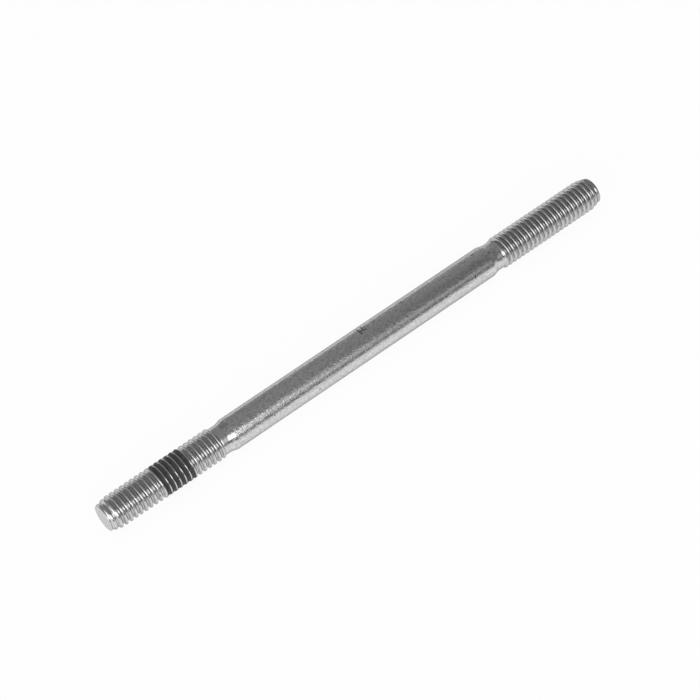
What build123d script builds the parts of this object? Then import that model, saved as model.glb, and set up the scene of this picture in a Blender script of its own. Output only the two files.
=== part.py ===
"""Cylinder stud: a plain shank with a rolled right-hand M6 x 1 thread on each end.

The crankcase end (-X) has a cylindrical neck, a conical shoulder and a band of dry thread-locking
compound in its grooves. The nut end (+X) has a steep shoulder and a slightly tapered neck.
Millimetres. The stud's axis is X and the origin lies on it, halfway along the stud.
"""

import os
from math import floor, hypot

from build123d import *

os.makedirs("parts", exist_ok=True)

# Thread form, the same at both ends: the M6 profile with its rounded root drawn sharp at its true
# depth, so crest, pitch and root diameters are right and each flank opens a few degrees past 30
thread_diameter = 5.86
thread_pitch = 1.0
crest_width = 0.125
groove_depth = 0.6
neck_runout = 1.25  # the groove rises out of the steel over this length at the neck
tip_runout = 1.0  # and over this length at the tip

# Crankcase end
crankcase_thread_length = 23.2
crankcase_neck_diameter = 5.25
crankcase_neck_length = 1.25
crankcase_shoulder_length = 1.0
crankcase_thread_start = 25.6  # degrees about the axis

# Shank
shank_diameter = 5.86
shank_length = 56.3

# Nut end
nut_shoulder_length = 0.95
nut_neck_length = 1.15
nut_neck_diameter = 5.21  # at the foot of the shoulder
nut_neck_end_diameter = 5.25  # where the thread begins
nut_thread_length = 22.65
nut_thread_start = -32.8

# Chamfered tips
tip_diameter = 4.8
chamfer_length = 1.9

# Locking compound
compound_turns = 6
compound_from_tip = 10.3  # from the crankcase tip to the start of the band
compound_below_crest = 0.2
compound_gap = 0.01  # between the dry film and the steel

crest_radius = thread_diameter / 2
root_radius = crest_radius - groove_depth
groove_half_width = (thread_pitch - crest_width) / 2
flank_slope = groove_half_width / groove_depth  # how fast half the groove's width grows outward

overall_length = (
    crankcase_thread_length + crankcase_neck_length + crankcase_shoulder_length
    + shank_length + nut_shoulder_length + nut_neck_length + nut_thread_length
)
crankcase_tip = -overall_length / 2
crankcase_thread_end = crankcase_tip + crankcase_thread_length
shank_start = crankcase_thread_end + crankcase_neck_length + crankcase_shoulder_length
shank_end = shank_start + shank_length
nut_neck_start = shank_end + nut_shoulder_length
nut_thread_begin = nut_neck_start + nut_neck_length
nut_tip = nut_thread_begin + nut_thread_length


def half_turns(count):
    """Helix of the groove's root from z = 0, one edge to each half turn."""
    step = thread_pitch / 2
    return Wire([
        Helix(thread_pitch, step, root_radius, mode=Mode.PRIVATE).moved(
            Location((0, 0, k * step), (0, 0, 180 * k))
        )
        for k in range(count)
    ])


def lifted(section, height, rise):
    """The groove's section where its helix has climbed by height, moved outward by rise."""
    return section.moved(Location((rise, 0, 0))).moved(
        Location((0, 0, height), (0, 0, 360 * height / thread_pitch))
    )


# Section that cuts the groove: the V, carried a little past the crest so that it cuts cleanly
cut_height = groove_depth + 0.28 * crest_width / flank_slope
cut_half_width = cut_height * flank_slope
with BuildSketch(Plane.XZ) as groove_section:
    with BuildLine():
        Polyline(
            (root_radius, 0),
            (root_radius + cut_height, cut_half_width),
            (root_radius + cut_height + groove_depth, cut_half_width),
            (root_radius + cut_height + groove_depth, -cut_half_width),
            (root_radius + cut_height, -cut_half_width),
            close=True,
        )
    make_face()

# Run-outs: at the neck the root climbs to clear the neck, at the tip to clear the flat face
section = groove_section.sketch.faces()[0]
neck_rise = 1.2 * (max(crankcase_neck_diameter, nut_neck_end_diameter) / 2 - root_radius)
neck_path = Wire([
    Helix(thread_pitch, neck_runout, root_radius, mode=Mode.PRIVATE).rotate(Axis.X, 180)
])
with BuildPart() as neck_groove:
    sweep(
        sections=[section, lifted(section, -neck_runout, neck_rise)],
        path=neck_path, multisection=True, is_frenet=True, clean=False,
    )

tip_rise = 1.2 * (tip_diameter / 2 - root_radius)
tip_height = tip_runout + thread_pitch / 2
tip_path = Wire([Helix(thread_pitch, tip_height, root_radius, mode=Mode.PRIVATE)])
with BuildPart() as tip_groove:
    sweep(
        sections=[section, lifted(section, tip_height, tip_rise * tip_height / tip_runout)],
        path=tip_path, multisection=True, is_frenet=True, clean=False,
    )

full_depth = crankcase_thread_length - neck_runout - tip_runout
crankcase_half_turns = floor(full_depth / (thread_pitch / 2))
crankcase_path = half_turns(crankcase_half_turns)
with BuildPart() as crankcase_groove:
    sweep(sections=groove_section.sketch, path=crankcase_path, is_frenet=True, clean=False)

full_depth = nut_thread_length - neck_runout - tip_runout
nut_half_turns = floor(full_depth / (thread_pitch / 2))
nut_path = half_turns(nut_half_turns)
with BuildPart() as nut_groove:
    sweep(sections=groove_section.sketch, path=nut_path, is_frenet=True, clean=False)

with BuildPart() as stud:
    # turned outline from tip to tip
    with BuildSketch(Plane.XY):
        with BuildLine():
            Polyline(
                (crankcase_tip, 0),
                (crankcase_tip, tip_diameter / 2),
                (crankcase_tip + chamfer_length, crest_radius),
                (crankcase_thread_end - neck_runout, crest_radius),
                (crankcase_thread_end, crankcase_neck_diameter / 2),
                (crankcase_thread_end + crankcase_neck_length, crankcase_neck_diameter / 2),
                (shank_start, shank_diameter / 2),
                (shank_end, shank_diameter / 2),
                (nut_neck_start, nut_neck_diameter / 2),
                (nut_thread_begin, nut_neck_end_diameter / 2),
                (nut_thread_begin + neck_runout, crest_radius),
                (nut_tip - chamfer_length, crest_radius),
                (nut_tip, tip_diameter / 2),
                (nut_tip, 0),
                close=True,
            )
        make_face()
    revolve(axis=Axis.X)
    # rolled threads: each groove runs from its neck out to its tip
    with Locations(Location((crankcase_thread_end - neck_runout, 0, 0), (0, -90, 0))):
        with Locations(Location((0, 0, 0), (0, 0, crankcase_thread_start))):
            add(crankcase_groove.part, mode=Mode.SUBTRACT, clean=False)
            add(neck_groove.part, mode=Mode.SUBTRACT, clean=False)
            with Locations(Location(
                (0, 0, crankcase_half_turns * thread_pitch / 2), (0, 0, 180 * crankcase_half_turns)
            )):
                add(tip_groove.part, mode=Mode.SUBTRACT, clean=False)
    with Locations(Location((nut_thread_begin + neck_runout, 0, 0), (0, 90, 0))):
        with Locations(Location((0, 0, 0), (0, 0, nut_thread_start))):
            add(nut_groove.part, mode=Mode.SUBTRACT, clean=False)
            add(neck_groove.part, mode=Mode.SUBTRACT, clean=False)
            with Locations(Location(
                (0, 0, nut_half_turns * thread_pitch / 2), (0, 0, 180 * nut_half_turns)
            )):
                add(tip_groove.part, mode=Mode.SUBTRACT, clean=False)
stud.part.label = "stud"
export_step(stud.part, "parts/stud.step")

# The compound is a dry film that fills the groove for a few turns, up to just under the crests
film_gap = compound_gap * hypot(1, flank_slope)
film_bottom = root_radius + film_gap / flank_slope
film_top = crest_radius - compound_below_crest
film_half_width = (film_top - root_radius) * flank_slope - film_gap
with BuildSketch(Plane.XZ) as compound_section:
    with BuildLine():
        Polyline(
            (film_bottom, 0), (film_top, film_half_width), (film_top, -film_half_width), close=True
        )
    make_face()

compound_path = half_turns(2 * compound_turns)
with BuildPart() as compound_helix:
    sweep(
        sections=compound_section.sketch, path=compound_path, is_frenet=True, clean=False
    )

compound_end = crankcase_thread_length - neck_runout - compound_from_tip
first_half_turn = round(compound_end / (thread_pitch / 2)) - 2 * compound_turns
with BuildPart() as locking_compound:
    with Locations(Location((crankcase_thread_end - neck_runout, 0, 0), (0, -90, 0))):
        with Locations(Location((0, 0, 0), (0, 0, crankcase_thread_start))):
            with Locations(Location(
                (0, 0, first_half_turn * thread_pitch / 2), (0, 0, 180 * first_half_turn)
            )):
                add(compound_helix.part, clean=False)
locking_compound.part.label = "locking_compound"
export_step(locking_compound.part, "parts/locking_compound.step")
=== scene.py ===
# %% [markdown]
# # A cylinder stud with rolled threads
#
# A cylinder stud is a steel rod with a thread at each end. One end is driven into an engine's
# crankcase, the other takes the nut that holds the cylinder down. This lesson loads the measured
# CAD model as a frame, and makes the stud and its band of dry thread-locking compound around it.

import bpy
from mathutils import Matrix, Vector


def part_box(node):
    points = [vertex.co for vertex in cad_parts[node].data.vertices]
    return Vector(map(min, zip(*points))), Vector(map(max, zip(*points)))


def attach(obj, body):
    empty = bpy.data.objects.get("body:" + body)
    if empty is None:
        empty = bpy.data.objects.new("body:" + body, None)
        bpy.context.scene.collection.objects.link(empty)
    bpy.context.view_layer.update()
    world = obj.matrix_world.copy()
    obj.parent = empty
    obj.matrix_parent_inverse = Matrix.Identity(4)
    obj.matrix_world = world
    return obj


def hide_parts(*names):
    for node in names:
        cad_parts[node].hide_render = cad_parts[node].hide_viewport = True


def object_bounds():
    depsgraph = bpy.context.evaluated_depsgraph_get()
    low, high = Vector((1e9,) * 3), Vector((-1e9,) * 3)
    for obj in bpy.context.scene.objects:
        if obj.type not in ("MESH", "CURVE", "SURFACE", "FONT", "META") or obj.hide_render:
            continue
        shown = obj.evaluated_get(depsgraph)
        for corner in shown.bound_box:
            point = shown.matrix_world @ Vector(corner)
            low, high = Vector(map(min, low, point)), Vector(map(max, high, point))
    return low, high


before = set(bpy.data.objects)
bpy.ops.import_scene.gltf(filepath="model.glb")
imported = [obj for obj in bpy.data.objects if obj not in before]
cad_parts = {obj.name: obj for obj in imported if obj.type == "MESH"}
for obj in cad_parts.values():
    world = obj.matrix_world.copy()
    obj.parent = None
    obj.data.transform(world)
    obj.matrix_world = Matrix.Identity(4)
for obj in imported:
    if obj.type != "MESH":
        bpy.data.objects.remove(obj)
cad_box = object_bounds()
print("CAD nodes:", sorted(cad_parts))

# %% [markdown]
# Blender works in metres and this part is a few millimetres thick, so lengths are written in
# millimetres times `mm`. The stud's axis is X, with the crankcase end at -X. Its ends, and the
# stretch of thread that the compound fills, are read from the CAD boxes. The diameters and the
# places along the axis repeat the CAD model's own.

# %% Sizes
from math import ceil, floor, hypot, pi, radians

import bmesh
import bpy

mm = 0.001
crankcase_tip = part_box("stud")[0].x
nut_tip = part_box("stud")[1].x
compound_from, compound_to = (corner.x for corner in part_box("locking_compound"))

crankcase_thread_end = crankcase_tip + 23.2 * mm
nut_thread_begin = nut_tip - 22.65 * mm
print(f"stud {(nut_tip - crankcase_tip) / mm:.2f} mm long,",
      f"{(nut_thread_begin - crankcase_thread_end) / mm:.2f} mm of it between the threads")

# %% [markdown]
# A few helpers do what a hand does before each step: let go of everything, and pick the
# vertices, edges or faces that lie in a given place. Operators act on all that is selected, so
# this comes before every one of them.

# %% Selecting
same_ring = 0.004 * mm  # vertices this close along the axis belong to one ring


def let_go():
    """Leaves edit mode and deselects every object."""
    if bpy.context.object and bpy.context.object.mode != "OBJECT":
        bpy.ops.object.mode_set(mode="OBJECT")
    bpy.ops.object.select_all(action="DESELECT")


def take(piece):
    """Makes piece the one selected and active object."""
    let_go()
    piece.select_set(True)
    bpy.context.view_layer.objects.active = piece


def pick(piece, kind, rule):
    """Opens piece in edit mode with the verts, edges or faces selected that rule accepts."""
    take(piece)
    bpy.ops.object.mode_set(mode="EDIT")
    bpy.ops.mesh.select_mode(type={"verts": "VERT", "edges": "EDGE", "faces": "FACE"}[kind])
    bpy.ops.mesh.select_all(action="DESELECT")
    shape = bmesh.from_edit_mesh(piece.data)
    chosen = [element for element in getattr(shape, kind) if rule(element)]
    for element in chosen:
        element.select_set(True)
    shape.select_flush_mode()
    bmesh.update_edit_mesh(piece.data)
    return len(chosen)


def pick_all(piece):
    """Opens piece in edit mode with everything selected."""
    return pick(piece, "verts", lambda vertex: True)


def open_edge_at(x):
    """A rule for pick: the open edges that lie at x along the axis."""
    return lambda edge: edge.is_boundary and all(abs(v.co.x - x) < same_ring for v in edge.verts)


# %% [markdown]
# ## The threads
# Each thread is rolled: hardened dies press the groove into the rod and the steel flows up into
# the crests, so root and crest are both round and polished. A thread could be cut with a boolean,
# or faked with a bump. Here it is made as it is generated: the outline of one pitch is drawn as a
# chain of edges, and the Screw modifier turns it round the axis while it moves on by one pitch in
# each turn. Neighbouring turns meet edge to edge and are merged.
#
# The outline runs from root to root. Half of it is written down, as distance from the middle of
# the groove and depth below the crest: a round root, a straight flank at 30 degrees and a round
# crest. The other half is its mirror image.

# %% Outline of one pitch
pitch = 1.0 * mm
crest_radius = 2.93 * mm
half_outline = [  # mm
    (0.0, 0.500), (0.050, 0.491), (0.090, 0.468), (0.125, 0.428), (0.167, 0.355), (0.209, 0.282),
    (0.251, 0.209), (0.293, 0.137), (0.335, 0.070), (0.368, 0.032), (0.415, 0.009), (0.5, 0.0),
]
outline = [(across * mm, crest_radius - depth * mm) for across, depth in half_outline]
outline += [(pitch - x, r) for x, r in reversed(outline[:-1])]
print("outline points:", len(outline), "root radius", round(outline[0][1] / mm, 3), "mm")


# %% [markdown]
# A chain of edges has no primitive of its own. A small plane is added, merged to a single
# vertex, moved to the first point and extruded from point to point.

# %% Draw a chain of edges
def draw_chain(name, points):
    """A new piece: one chain of edges through the points (x, z) in the plane y = 0."""
    let_go()
    bpy.ops.mesh.primitive_plane_add(size=mm, location=(0, 0, 0))
    piece = bpy.context.object
    piece.name = piece.data.name = name
    bpy.ops.object.mode_set(mode="EDIT")
    bpy.ops.mesh.select_mode(type="VERT")
    bpy.ops.mesh.select_all(action="SELECT")
    bpy.ops.mesh.merge(type="CENTER")
    bpy.ops.transform.translate(value=(points[0][0], 0, points[0][1]))
    for (x0, z0), (x1, z1) in zip(points, points[1:]):
        bpy.ops.mesh.extrude_region_move(
            TRANSFORM_OT_translate={"value": (x1 - x0, 0, z1 - z0)}
        )
    # a chain that comes back to its first point becomes a closed one
    bpy.ops.mesh.select_all(action="SELECT")
    bpy.ops.mesh.remove_doubles(threshold=0.001 * mm)
    bpy.ops.object.mode_set(mode="OBJECT")
    return piece


def screw(piece, turns, steps_per_turn):
    """Turns the chain about X, a right-hand thread that runs toward +X."""
    take(piece)
    bpy.ops.object.modifier_add(type="SCREW")
    turning = piece.modifiers[-1]
    turning.axis = "X"
    turning.angle = 2 * pi
    turning.screw_offset = pitch
    turning.iterations = turns
    turning.steps = turning.render_steps = steps_per_turn
    turning.use_merge_vertices = False
    turning.use_smooth_shade = True
    bpy.ops.object.modifier_apply(modifier=turning.name)


def cut_off(piece, x, keep_higher):
    """Cuts piece square to the axis at x and throws one side away."""
    pick_all(piece)
    bpy.ops.mesh.bisect(
        plane_co=(x, 0, 0), plane_no=(1, 0, 0), clear_inner=keep_higher,
        clear_outer=not keep_higher, use_fill=False, threshold=0.0001 * mm,
    )
    bpy.ops.object.mode_set(mode="OBJECT")


# %% [markdown]
# The groove passes the stud's top line once in each turn. One of those places gives the chain its
# start: it is worked out from the place where the groove's full depth begins, near the neck, and
# from the share of a turn between there and the top line. The thread is made a turn or two too
# long at both ends and then cut square with a bisect.

# %% Wind both threads
steps_per_turn = 72
rim = 0.07 * mm  # the tip's edge is rounded over this length


def wind_thread(name, groove_at_top, low, high):
    """A thread from low to high along the axis, its groove at the top line at groove_at_top."""
    first = groove_at_top + pitch * (ceil((low - groove_at_top) / pitch) - 2)
    piece = draw_chain(name, [(first + x, r) for x, r in outline])
    screw(piece, ceil((high - first) / pitch) + 1, steps_per_turn)
    pick_all(piece)
    bpy.ops.mesh.remove_doubles(threshold=0.002 * mm)
    cut_off(piece, low, keep_higher=True)
    cut_off(piece, high, keep_higher=False)
    print(name, "faces:", len(piece.data.polygons))
    return piece


full_depth_from_neck = 1.25 * mm
crankcase_turn_to_top = 25.6 / 360  # turns from there to the top line, toward +X
nut_turn_to_top = (180 + 32.8) / 360
crankcase_groove_at_top = (
    crankcase_thread_end - full_depth_from_neck + crankcase_turn_to_top * pitch
)
nut_groove_at_top = nut_thread_begin + full_depth_from_neck + nut_turn_to_top * pitch
crankcase_thread = wind_thread(
    "crankcase_thread", crankcase_groove_at_top, crankcase_tip + rim, crankcase_thread_end
)
nut_thread = wind_thread("nut_thread", nut_groove_at_top, nut_thread_begin, nut_tip - rim)

# %% [markdown]
# At the neck the groove rises out of the steel and the crests sink to the neck's thickness,
# because the dies' edges are bevelled. At the tip the rod was chamfered before rolling, so the
# crests there are cut short by a cone and stay round. No single operator fades a thread, so this
# step moves each vertex along its own radius by a rule: it is the only step done by a formula.

# %% Fade the ends of the threads
neck_radius = 2.625 * mm  # of both necks, where the thread begins
tip_radius = 2.4 * mm
chamfer_length = 1.9 * mm
crankcase_fade = 0.55 * mm
nut_fade = 0.85 * mm
tip_fade = 0.30 * mm
tip_depth_share = 0.45  # how much of the groove is left at the very tip
crest_softness = 0.05 * mm


def ease(t):
    """0 below 0, 1 above 1 and a smooth rise between."""
    t = min(max(t, 0), 1)
    return t * t * (3 - 2 * t)


def softer_minimum(a, b, softness):
    """The smaller of a and b, rounded over where they are nearly equal."""
    gap = max(softness - abs(a - b), 0) / softness
    return min(a, b) - gap * gap * softness / 4


def faded_radius(radius, from_neck, neck_fade, from_tip):
    """Where a point of the full thread at radius ends up, given its distance from both ends."""
    radius = neck_radius + (radius - neck_radius) * ease(from_neck / neck_fade)
    cone = tip_radius + (crest_radius - tip_radius) * from_tip / chamfer_length
    if cone < crest_radius + crest_softness:
        shallow = cone - tip_depth_share * (crest_radius - radius)
        radius = softer_minimum(radius, shallow, crest_softness)
        radius = cone - (cone - radius) * ease(from_tip / tip_fade)
    return radius


def fade_ends(piece, neck_at, neck_fade, tip_at):
    """Sinks the thread of piece into its neck and its chamfer."""
    for v in piece.data.vertices:
        radius = hypot(v.co.y, v.co.z)
        new = faded_radius(radius, abs(v.co.x - neck_at), neck_fade, abs(v.co.x - tip_at))
        v.co.y *= new / radius
        v.co.z *= new / radius


fade_ends(crankcase_thread, crankcase_thread_end, crankcase_fade, crankcase_tip)
fade_ends(nut_thread, nut_thread_begin, nut_fade, nut_tip)
print("threads faded into necks and chamfers")


# %% [markdown]
# The rest of the stud is turned work: rings of one centre that follow each other along the
# axis. The open edge of a piece is extruded along X and resized about the axis, ring after ring.
# The rounded rim and the nearly flat face of each tip come first.

# %% Rings along the axis
def ring_on(piece, x, radius, stations):
    """From the open edge at x, which has that radius, extrudes a ring to each (x, radius)."""
    pick(piece, "edges", open_edge_at(x))
    for next_x, next_radius in stations:
        bpy.ops.mesh.extrude_region_move(TRANSFORM_OT_translate={"value": (next_x - x, 0, 0)})
        ratio = next_radius / radius
        bpy.ops.transform.resize(value=(1, ratio, ratio), center_override=(next_x, 0, 0))
        x, radius = next_x, next_radius
    bpy.ops.object.mode_set(mode="OBJECT")


tip_rings = (  # mm: distance in from the tip, and how much smaller in radius than the rim
    (0.022, 0.035), (0.0, 0.10), (0.004, 0.30), (0.015, 1.20),
)


def close_tip(piece, tip, inward):
    """Rounds the rim of the tip, and closes its face. inward is the way to the stud's middle."""
    at = tip + inward * rim
    radius = max(
        hypot(v.co.y, v.co.z) for v in piece.data.vertices if abs(v.co.x - at) < same_ring
    )
    rings = [(tip + inward * deep * mm, radius - smaller * mm) for deep, smaller in tip_rings]
    ring_on(piece, at, radius, rings)
    pick(piece, "edges", open_edge_at(rings[-1][0]))
    bpy.ops.mesh.edge_face_add()
    bpy.ops.object.mode_set(mode="OBJECT")


close_tip(crankcase_thread, crankcase_tip, +1)
close_tip(nut_thread, nut_tip, -1)
print("tips closed")

# %% [markdown]
# ## Shank and necks
# The shank keeps the rod's full thickness. Beside each thread it steps down to a neck, as thick
# as the rod has to be before its thread is rolled. The crankcase end has a conical shoulder, the
# nut end a shorter one and a neck that widens a little toward the thread. The piece starts as
# a cylinder without caps, and rings are extruded from both of its open edges.

# %% Shank
shank_radius = 2.93 * mm
around = 96  # vertices in a ring
to_crankcase = [  # mm from the crankcase tip, radius in mm
    (25.70, 2.930), (25.55, 2.915), (25.35, 2.868), (25.00, 2.782), (24.66, 2.700),
    (24.45, 2.655), (24.30, 2.634), (24.10, 2.625), (23.28, 2.625),
]
to_nut = [  # the same
    (81.40, 2.930), (81.60, 2.907), (81.85, 2.846), (82.16, 2.752), (82.42, 2.676),
    (82.62, 2.633), (82.82, 2.610), (83.15, 2.605), (83.50, 2.610), (83.77, 2.622),
]
low, high = (crankcase_tip + rings[0][0] * mm for rings in (to_crankcase, to_nut))
let_go()
bpy.ops.mesh.primitive_cylinder_add(
    vertices=around, radius=shank_radius, depth=high - low, end_fill_type="NOTHING",
    location=((low + high) / 2, 0, 0), rotation=(0, radians(90), 0),
)
shank = bpy.context.object
shank.name = shank.data.name = "shank"
bpy.ops.object.transform_apply(location=True, rotation=True, scale=True)
for rings in (to_crankcase, to_nut):
    places = [(crankcase_tip + x * mm, radius * mm) for x, radius in rings]
    ring_on(shank, places[0][0], places[0][1], places[1:])
print("shank and necks, faces:", len(shank.data.polygons))

# %% [markdown]
# The three parts are joined into one mesh. The thread's last ring and the neck's have different
# numbers of vertices, which Bridge Edge Loops copes with. The two rings of each joint are less
# than a tenth of a millimetre apart, so the uneven faces of the bridge can't be seen.

# %% Join threads and shank
take(shank)
crankcase_thread.select_set(True)
nut_thread.select_set(True)
bpy.ops.object.join()
stud_body = shank
stud_body.name = stud_body.data.name = "stud_body"


def bridge(piece, x_from, x_to):
    """Closes the gap between the two open rings at x_from and x_to."""
    pick(piece, "edges", lambda edge: open_edge_at(x_from)(edge) or open_edge_at(x_to)(edge))
    bpy.ops.mesh.bridge_edge_loops()
    bpy.ops.object.mode_set(mode="OBJECT")


bridge(stud_body, crankcase_thread_end, crankcase_tip + to_crankcase[-1][0] * mm)
bridge(stud_body, nut_thread_begin, crankcase_tip + to_nut[-1][0] * mm)
pick_all(stud_body)
bpy.ops.mesh.normals_make_consistent(inside=False)
bpy.ops.object.mode_set(mode="OBJECT")
sharp_angle = 38  # degrees: the steel's edges are sharp above it
bpy.ops.object.shade_smooth_by_angle(angle=radians(sharp_angle))
open_edges = pick(stud_body, "edges", lambda edge: not edge.is_manifold)
let_go()
print("stud body faces:", len(stud_body.data.polygons), "open edges:", open_edges)

# %% [markdown]
# ## Locking compound
# The maker coats a few turns of the crankcase thread with a compound that dries in the grooves
# and holds the stud when it is driven in. It was wet when it was put on, so it climbs the flanks
# and sags between them, and only the crests stand out of it. It could be a dark patch in the
# steel's material, but it has a surface of its own, so it is a closed section wound along the
# groove with the same Screw modifier. It starts and ends underneath.

# %% Wind the compound
compound_steps = 48  # in a turn
film_outline = [  # mm: distance from the middle of the groove, depth below the crest
    (-0.400, 0.002), (-0.330, 0.014), (-0.260, 0.060), (-0.170, 0.115), (-0.060, 0.140),
    (0.060, 0.140), (0.170, 0.115), (0.260, 0.060), (0.330, 0.014), (0.400, 0.002),
    (0.310, 0.070), (0.220, 0.200), (0.110, 0.400), (0.0, 0.480), (-0.110, 0.400),
    (-0.220, 0.200), (-0.310, 0.070),
]
groove_underneath = crankcase_groove_at_top - pitch / 2
film_start = groove_underneath + pitch * ceil((compound_from - groove_underneath) / pitch)
film_turns = floor((compound_to - film_start) / pitch)
closed_outline = film_outline + film_outline[:1]
compound_band = draw_chain("compound_band", [
    (film_start + x * mm, -(crest_radius - depth * mm)) for x, depth in closed_outline
])
screw(compound_band, film_turns, compound_steps)
print(f"compound: {film_turns} turns from {(film_start - crankcase_tip) / mm:.2f} mm, "
      f"box {(compound_from - crankcase_tip) / mm:.2f} to {(compound_to - crankcase_tip) / mm:.2f}")

# %% Close the ends of the compound
pick(compound_band, "edges", lambda edge: edge.is_boundary)
bpy.ops.mesh.edge_face_add()
bpy.ops.object.mode_set(mode="OBJECT")
left_open = pick(compound_band, "edges", lambda edge: not edge.is_manifold)
print("compound open edges:", left_open)
pick_all(compound_band)
bpy.ops.mesh.normals_make_consistent(inside=False)
bpy.ops.object.mode_set(mode="OBJECT")

# %% [markdown]
# A dried film is never even. A Displace modifier with a cloud pattern moves its skin in and out
# by a few hundredths of a millimetre.

# %% Make the film uneven
unevenness = bpy.data.textures.new("film_unevenness", "CLOUDS")
unevenness.noise_scale = 0.9 * mm
take(compound_band)
bpy.ops.object.modifier_add(type="DISPLACE")
ripple = compound_band.modifiers[-1]
ripple.texture = unevenness
ripple.texture_coords = "LOCAL"
ripple.strength = 0.05 * mm
ripple.mid_level = 0.5
bpy.ops.object.modifier_apply(modifier=ripple.name)
film_sharp_angle = 60  # degrees
bpy.ops.object.shade_smooth_by_angle(angle=radians(film_sharp_angle))
print("compound faces:", len(compound_band.data.polygons))

# %% [markdown]
# ## Materials
# Both finishes are built from nodes on Object coordinates, which are the frame's own metres,
# turned into millimetres. One helper makes a node and sets its inputs, and others make a noise,
# a change of range and a sum or product, so that each pattern can be read as a line. They all
# work on the node tree that `nodes` and `links` stand for at the time.

# %% Node helpers
def new_material(name):
    """A material with its nodes, links and Principled shader."""
    material = bpy.data.materials.new(name)
    material.use_nodes = True
    nodes, links = material.node_tree.nodes, material.node_tree.links
    return material, nodes, links, nodes["Principled BSDF"]


def add_node(kind, inputs, **settings):
    """A node of that kind. An input is a number, a colour or another node's output."""
    node = nodes.new(kind)
    for key, value in settings.items():
        setattr(node, key, value)
    for key, value in inputs.items():
        if isinstance(value, bpy.types.NodeSocket):
            links.new(value, node.inputs[key])
        else:
            node.inputs[key].default_value = value
    return node


def place_in_mm():
    """The place on the piece, in mm."""
    coordinates = add_node("ShaderNodeTexCoord", {}).outputs["Object"]
    inputs = {"Vector": coordinates, "Scale": (1 / mm,) * 3}
    return add_node("ShaderNodeMapping", inputs).outputs[0]


def noise(place, stretch, scale, detail, roughness=0.55):
    """Noise at a feature size of about 1 / scale mm, stretched along the three axes."""
    mapped = add_node("ShaderNodeMapping", {"Vector": place, "Scale": stretch})
    return add_node(
        "ShaderNodeTexNoise",
        {"Vector": mapped.outputs[0], "Scale": scale, "Detail": detail, "Roughness": roughness},
    ).outputs[0]


def remap(value, low, high, to_low, to_high, kind="SMOOTHSTEP"):
    """Maps value from low..high to to_low..to_high."""
    return add_node(
        "ShaderNodeMapRange",
        {"Value": value, "From Min": low, "From Max": high, "To Min": to_low, "To Max": to_high},
        interpolation_type=kind,
    ).outputs[0]


def combine(operation, a, b=0.0):
    """One sum, product or other operation on two values."""
    return add_node("ShaderNodeMath", {0: a, 1: b}, operation=operation).outputs[0]


def grey(value):
    """The grey of that brightness."""
    inputs = {"Red": value, "Green": value, "Blue": value}
    return add_node("ShaderNodeCombineColor", inputs).outputs[0]


def bump_from(relief, strength, depth):
    """The shading normal of a relief that is depth metres high where it is 1."""
    inputs = {"Height": relief, "Strength": strength, "Distance": depth}
    return add_node("ShaderNodeBump", inputs).outputs[0]


# %% [markdown]
# ### Zinc-plated steel
# The stud is drawn steel with a thin dull plating. Drawing leaves faint lengthwise streaks, and
# the plating has a fine mottled grain, which breaks up the light more than it colours the
# steel. The dies left the threads even and bright, and the crankcase shoulder and its neck are
# burnished. Handling has put small dents and a cross-shaped scratch on the shank, whose colour
# is darkened as painted shade. A darker patch beside the burnished ring is a painted reflection
# of the dark surroundings, and the nut thread is made a little darker, with painted shade in its
# roots.

# %% Steel
steel, nodes, links, shader = new_material("zinc_plated_steel")
in_mm = place_in_mm()
axes = add_node("ShaderNodeSeparateXYZ", {"Vector": in_mm}).outputs
along = axes["X"]
radius_squared = combine(
    "ADD", combine("MULTIPLY", axes["Y"], axes["Y"]), combine("MULTIPLY", axes["Z"], axes["Z"])
)
radius_mm = combine("SQRT", radius_squared)

streaks = noise(in_mm, (0.05, 1, 1), 3.2, 5)
mottle = noise(in_mm, (0.7, 1, 1), 1.5, 5, 0.65)
patches = noise(in_mm, (0.35, 1, 1), 0.5, 3)
grain = noise(in_mm, (0.6, 1, 1), 4.0, 4, 0.6)

# 1 from the crankcase shoulder to the nut thread, 0 on the threads
crankcase_neck_and_shoulder = 2.25  # mm
shank_start_mm = crankcase_thread_end / mm + crankcase_neck_and_shoulder
nut_thread_mm = nut_thread_begin / mm
on_shank = combine(
    "MULTIPLY",
    remap(along, shank_start_mm - 1.9, shank_start_mm - 0.9, 0, 1),
    remap(along, nut_thread_mm - 0.1, nut_thread_mm + 0.3, 1, 0),
)
# 1 on the burnished ring at the crankcase shoulder, with a ragged edge
ragged = combine("ADD", along, remap(mottle, 0.3, 0.7, -0.25, 0.25, "LINEAR"))
burnished = combine(
    "MULTIPLY",
    remap(ragged, shank_start_mm - 1.45, shank_start_mm - 1.25, 0, 1),
    remap(ragged, shank_start_mm + 0.3, shank_start_mm + 0.5, 1, 0),
)
# 1 on the flat faces of the tips
on_face = remap(combine("ABSOLUTE", along), nut_tip / mm - 0.05, nut_tip / mm - 0.02, 0, 1)
# small bright flecks and dark pits of the plating, a little longer than wide
fleck_noise = noise(in_mm, (0.6, 1, 1), 3.4, 3, 0.5)
flecks = combine("MULTIPLY", remap(fleck_noise, 0.54, 0.64, 0, 1), on_shank)
pits = combine("MULTIPLY", remap(fleck_noise, 0.46, 0.36, 0, 1), on_shank)
print("steel patterns ready")

# %% [markdown]
# A used stud carries knocks. Each is a short dent, given as a line on the surface and a width,
# and its colour is darkened there as painted shade. The first four cross each other. Two fine
# ridges beside the crankcase shoulder were left by the turning tool.

# %% Marks
def vector_step(operation, a, b):
    """One vector operation on two values."""
    node = add_node("ShaderNodeVectorMath", {0: a, 1: b}, operation=operation)
    return node.outputs["Value" if operation in ("DOT_PRODUCT", "DISTANCE") else "Vector"]


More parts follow.
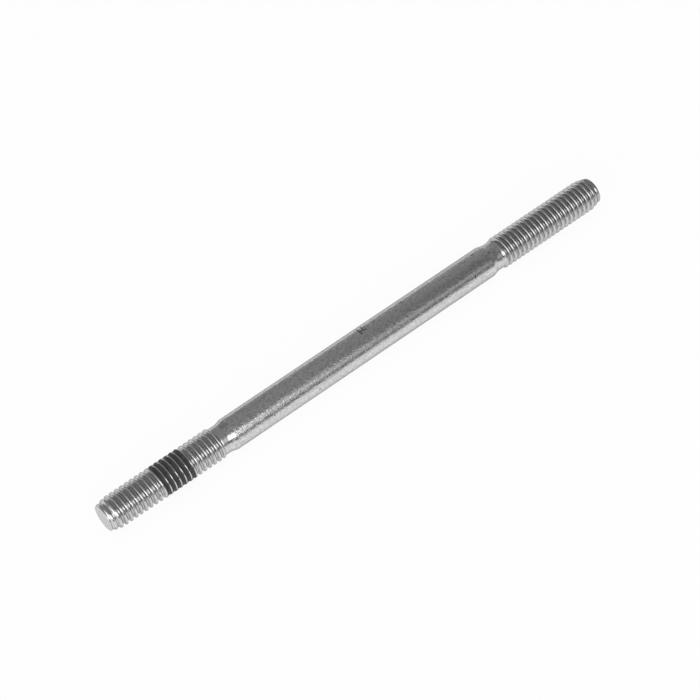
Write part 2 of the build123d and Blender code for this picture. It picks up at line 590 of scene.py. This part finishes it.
def line_mark(start, end, width):
    """1 on the line from start to end, in mm, and 0 further than width from it."""
    reach = [e - s for s, e in zip(start, end)]
    share = combine(
        "DIVIDE", vector_step("DOT_PRODUCT", vector_step("SUBTRACT", in_mm, start), reach),
        max(sum(r * r for r in reach), 1e-6),
    )
    share = combine("MINIMUM", combine("MAXIMUM", share, 0.0), 1.0)
    spread = add_node("ShaderNodeCombineXYZ", {"X": share, "Y": share, "Z": share})
    nearest = vector_step("ADD", vector_step("MULTIPLY", spread.outputs[0], reach), start)
    return remap(vector_step("DISTANCE", in_mm, nearest), 0.35 * width, width, 1, 0)


dent_lines = [  # mm: two ends and a width
    ((0.82, 1.52, 2.51), (0.92, 0.23, 2.92), 0.23), ((0.80, 0.87, 2.80), (2.05, 0.54, 2.88), 0.25),
    ((1.75, 1.62, 2.44), (1.54, 0.69, 2.85), 0.20), ((2.00, 1.30, 2.63), (1.95, 0.85, 2.80), 0.15),
    ((3.90, 0.83, 2.81), (4.15, 0.87, 2.80), 0.17), ((8.40, 0.20, 2.92), (8.50, 0.26, 2.92), 0.15),
    ((9.95, 1.08, 2.72), (10.30, 1.13, 2.70), 0.20), ((24.0, 0.75, 2.83), (24.2, 0.79, 2.82), 0.17),
    ((26.0, 1.10, 2.72), (26.4, 1.18, 2.68), 0.19),
    ((24.12, -2.20, 1.93), (24.14, -2.30, 1.82), 0.24),
    ((28.7, -0.38, 2.90), (29.0, -0.44, 2.88), 0.26),
    ((-20.0, -2.52, 1.50), (-19.9, -2.60, 1.36), 0.14),
    ((-10.7, -2.86, 0.63), (-10.5, -2.86, 0.63), 0.11),
    ((-43.8, -2.80, 0.87), (-43.9, -2.85, 0.60), 0.32),
    ((39.1, 0.05, 2.93), (39.2, -0.03, 2.93), 0.28),
    ((42.9, -2.74, 1.03), (42.9, -2.81, 0.83), 0.24),
]
dents_and_painted_shade = 0.0
for start, end, width in dent_lines:
    dents_and_painted_shade = combine("MAXIMUM", dents_and_painted_shade, line_mark(start, end, width))
ridges = combine(
    "MAXIMUM",
    line_mark((-26.38, -1.24, 2.66), (-26.33, -2.35, 1.75), 0.10),
    line_mark((-25.78, -1.30, 2.63), (-25.73, -2.30, 1.82), 0.10),
)
painted_dark_reflection = line_mark((-28.7, 0.45, 2.77), (-28.0, 0.30, 2.87), 0.55)  # a darker patch beside the burnished ring, a painted reflection of the dark surroundings
print("dents:", len(dent_lines))

# %% Steel colour, roughness and relief
tone = combine(
    "ADD",
    remap(streaks, 0.3, 0.7, 0.62, 0.66, "LINEAR"),
    combine("ADD", remap(mottle, 0.3, 0.7, -0.035, 0.035, "LINEAR"),
            remap(grain, 0.3, 0.7, -0.05, 0.05, "LINEAR")),
)
tone = combine("ADD", tone, combine("MULTIPLY", combine("SUBTRACT", flecks, pits), 0.12))
# painted shade: the colour is darkened in each dent
tone = combine("MULTIPLY", tone, remap(dents_and_painted_shade, 0, 1, 1, 0.35, "LINEAR"))
# painted reflection: a darker patch beside the burnished ring stands for the dark surroundings
tone = combine("MULTIPLY", tone, remap(painted_dark_reflection, 0, 1, 1, 0.72, "LINEAR"))
# the nut thread is darkened a little at its crests and more toward its roots, where it is painted
# shade
darkened_nut_thread = combine("MULTIPLY", remap(along, nut_thread_mm, nut_thread_mm + 0.6, 0, 1),
               combine("SUBTRACT", 1.0, on_face))
darkening_and_root_shade = combine("MULTIPLY", darkened_nut_thread, remap(radius_mm, 2.45, 2.85, 0.25, 0.07))
tone = combine("MULTIPLY", tone, combine("SUBTRACT", 1.0, darkening_and_root_shade))
links.new(grey(tone), shader.inputs["Base Color"])
shader.inputs["Metallic"].default_value = 1.0
# at grazing angles the plating is dull, but the cut faces of the tips aren't
edge_tone = remap(on_face, 0, 1, 0.45, 0.8, "LINEAR")
links.new(grey(edge_tone), shader.inputs["Specular Tint"])

shank_roughness = combine(
    "ADD",
    remap(mottle, 0.3, 0.7, 0.135, 0.25, "LINEAR"),
    combine("ADD", remap(grain, 0.35, 0.65, -0.05, 0.05, "LINEAR"),
            remap(patches, 0.35, 0.65, -0.03, 0.05, "LINEAR")),
)
thread_roughness = remap(grain, 0.3, 0.7, 0.20, 0.30, "LINEAR")


def blend_values(share, a, b):
    """a where share is 0, b where it is 1."""
    return combine("ADD", combine("MULTIPLY", a, combine("SUBTRACT", 1.0, share)),
                   combine("MULTIPLY", b, share))


burnished_roughness = 0.12
roughness = blend_values(on_shank, thread_roughness, shank_roughness)
roughness = blend_values(burnished, roughness, burnished_roughness)
links.new(roughness, shader.inputs["Roughness"])

relief = combine(
    "ADD",
    combine("MULTIPLY", grain, 0.45),
    combine("ADD", combine("MULTIPLY", mottle, 0.50), combine("MULTIPLY", streaks, 0.08)),
)
relief_depth = combine("MULTIPLY", remap(on_shank, 0, 1, 0.35, 1.0, "LINEAR"),
                       remap(burnished, 0, 1, 1.0, 0.15, "LINEAR"))
relief = combine("MULTIPLY", relief, relief_depth)
relief = combine("ADD", relief, combine("ADD", combine("MULTIPLY", dents_and_painted_shade, -1.2),
                                        combine("MULTIPLY", ridges, 0.7)))
relief = combine("ADD", relief, combine("MULTIPLY", combine("SUBTRACT", flecks, pits), 0.28))
links.new(bump_from(relief, 1.0, 0.025 * mm), shader.inputs["Normal"])
stud_body.data.materials.clear()
stud_body.data.materials.append(steel)
print("steel nodes:", len(nodes))

# %% [markdown]
# ### Dried compound
# The compound dries matte and nearly black, with lighter dusty patches.

# %% Compound
film, nodes, links, shader = new_material("dried_compound")
in_mm = place_in_mm()
blotches = noise(in_mm, (1, 1, 1), 1.1, 4)
crumbs = noise(in_mm, (1, 1, 1), 7.0, 4)
tone = combine(
    "ADD",
    remap(blotches, 0.3, 0.7, 0.018, 0.038, "LINEAR"),
    remap(crumbs, 0.3, 0.75, -0.006, 0.014, "LINEAR"),
)
links.new(grey(tone), shader.inputs["Base Color"])
links.new(remap(crumbs, 0.3, 0.7, 0.5, 0.75, "LINEAR"), shader.inputs["Roughness"])
links.new(bump_from(crumbs, 0.8, 0.03 * mm), shader.inputs["Normal"])
compound_band.data.materials.clear()
compound_band.data.materials.append(film)
print("compound nodes:", len(nodes))

# %% [markdown]
# ## Hand both pieces to the frame
# Each piece rides on the one body and takes the place of its CAD node.

# %% Ride and replace
for piece, node, slot in (
    (stud_body, "stud", "zinc_steel"),
    (compound_band, "locking_compound", "locking_compound"),
):
    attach(piece, "root")
    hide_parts(node)
    print(piece.name, "stands for", node)

# %% [markdown]
# ## Studio
# Bright metal is seen by what it reflects, so the studio is made as carefully as the stud. The
# floor is a plane whose diffuse part keeps the shadow. For camera, glossy and transmission rays
# the rest of it glows white, so that the background and its reflection are equally pale.

# %% Floor
let_go()
bpy.ops.mesh.primitive_plane_add(size=60, location=(0, 0, cad_box[0][2]))
floor_plane = bpy.context.object
floor_plane.name = "floor"
floor_paint, nodes, links, shader = new_material("floor_paint")
nodes.remove(shader)
paths = nodes.new("ShaderNodeLightPath").outputs
seen = combine("MAXIMUM", combine("MAXIMUM", paths["Is Camera Ray"], paths["Is Glossy Ray"]),
               paths["Is Transmission Ray"])
glow_share = 0.93
matte = add_node("ShaderNodeBsdfDiffuse", {"Color": (0.9, 0.9, 0.9, 1)})
glow = add_node("ShaderNodeEmission", {"Color": (1, 1, 1, 1), "Strength": 1.0})
mixed = add_node("ShaderNodeMixShader", {0: combine("MULTIPLY", seen, glow_share)})
links.new(matte.outputs[0], mixed.inputs[1])
links.new(glow.outputs[0], mixed.inputs[2])
links.new(mixed.outputs[0], nodes["Material Output"].inputs["Surface"])
floor_plane.data.materials.append(floor_paint)
print("floor at", round(cad_box[0][2] / mm, 2), "mm")

# %% [markdown]
# The surroundings are grey, with a pale strip at the horizon. They are paler past the crankcase
# end: light from there crosses the groove to each flank that faces the nut end, which runs
# together with the crest beside it into one highlight to a turn. A darker patch above the nut
# end gives the opposite flanks their dark line in the same way. Low behind the stud the
# surroundings are a little paler again, which softens the far edge of the shank.

# %% Surroundings
world = bpy.data.worlds.new("studio")
bpy.context.scene.world = world
world.use_nodes = True
nodes, links = world.node_tree.nodes, world.node_tree.links
direction = nodes.new("ShaderNodeTexCoord").outputs["Generated"]
toward = add_node("ShaderNodeSeparateXYZ", {0: direction}).outputs
bands = add_node("ShaderNodeValToRGB", {0: toward["Z"]})
bands.color_ramp.interpolation = "EASE"
levels = ((0.0, 0.80), (0.03, 0.20), (0.45, 0.25), (1.0, 0.29))  # sine of elevation, brightness
while len(bands.color_ramp.elements) > 1:
    bands.color_ramp.elements.remove(bands.color_ramp.elements[-1])
for index, (at, level) in enumerate(levels):
    stop = bands.color_ramp.elements[0] if index == 0 else bands.color_ramp.elements.new(at)
    stop.position = at
    stop.color = (level, level, level, 1)
links.new(bands.outputs[0], nodes["Background"].inputs["Color"])
pale_side = combine(
    "MULTIPLY", remap(toward["X"], -0.94, -0.70, 4.6, 0.0),
    combine("ADD", remap(toward["Y"], 0.10, 0.46, 1.0, 0.0),
            remap(toward["Y"], -0.10, 0.06, 0.5, 0.0)),
)
dark_patch = combine(
    "MULTIPLY",
    combine("SUBTRACT", remap(toward["X"], 0.30, 0.50, 0.0, 0.4),
            remap(toward["X"], 0.62, 0.80, 0.0, 0.4)),
    remap(toward["Y"], 0.00, 0.50, 1.0, 0.0),
)
pale_back = combine(
    "MULTIPLY", remap(toward["Z"], 0.05, 0.75, 1.0, 0.0),
    combine("MULTIPLY", remap(toward["Y"], 0.30, 0.70, 0.0, 1.0),
            remap(toward["X"], 0.05, 0.52, 0.0, 0.63)),
)
strength = combine("ADD", combine("ADD", pale_side, pale_back), 1.0)
strength = combine("MULTIPLY", strength, combine("SUBTRACT", 1.0, dark_patch))
links.new(strength, nodes["Background"].inputs["Strength"])
print("surroundings:", [round(e.position, 2) for e in bands.color_ramp.elements])

# %% [markdown]
# One long softbox lies beside the stud, parallel to it, and draws the bright band along the
# shank and the highlight on each crest. It reaches far past the crankcase end, and toward the
# nut end it gets dimmer, lower and narrower, so it's built of three lamps in a row. A wide lamp
# overhead brings matte surfaces to a plain level, at which a colour renders about as it is
# written. It is hidden from reflections, because the steel would show it as a second band.

# %% Lamps
def softbox(name, place, tilt, width, height, brightness, in_reflections=True):
    """A rectangular lamp at place, its width along X, tilted about X by that many degrees."""
    lamp = bpy.data.lights.new(name, "AREA")
    lamp.shape = "RECTANGLE"
    lamp.size, lamp.size_y = width, height
    lamp.energy = brightness * pi * width * height
    box = bpy.data.objects.new(name, lamp)
    bpy.context.scene.collection.objects.link(box)
    box.location = place
    box.rotation_euler = (radians(tilt), 0, 0)
    box.visible_glossy = in_reflections


key_row = (  # metres: from and to along X, height above the stud, how tall; and brightness
    ("key_softbox", -3.0, 0.08, 0.44, 0.40, 2.0),
    ("key_edge", 0.08, 0.26, 0.43, 0.36, 0.34),
    ("key_far", 0.26, 0.50, 0.37, 0.24, 0.32),
)
key_y = -0.55
key_tilt = 51.3  # degrees
for name, x_from, x_to, z, tall, brightness in key_row:
    place = ((x_from + x_to) / 2, key_y, z)
    softbox(name, place, key_tilt, x_to - x_from, tall, brightness)
    print(name, "from", x_from, "to", x_to, "m, brightness", brightness)
softbox("overhead_fill", (0.1, 0.3, 1.4), 0, 2.0, 2.0, 1.15, in_reflections=False)

# %% Camera
lens = bpy.data.cameras.new("camera")
lens.lens = 122.57
lens.sensor_width = 36
camera = bpy.data.objects.new("camera", lens)
bpy.context.scene.collection.objects.link(camera)
camera.location = (-0.14206, -0.17365, 0.33713)
camera.rotation_euler = (radians(33.57), 0, radians(-38.92))
bpy.context.scene.camera = camera
bpy.context.scene.view_settings.view_transform = "Standard"
print("camera", round(camera.location.length, 3), "m from the stud")
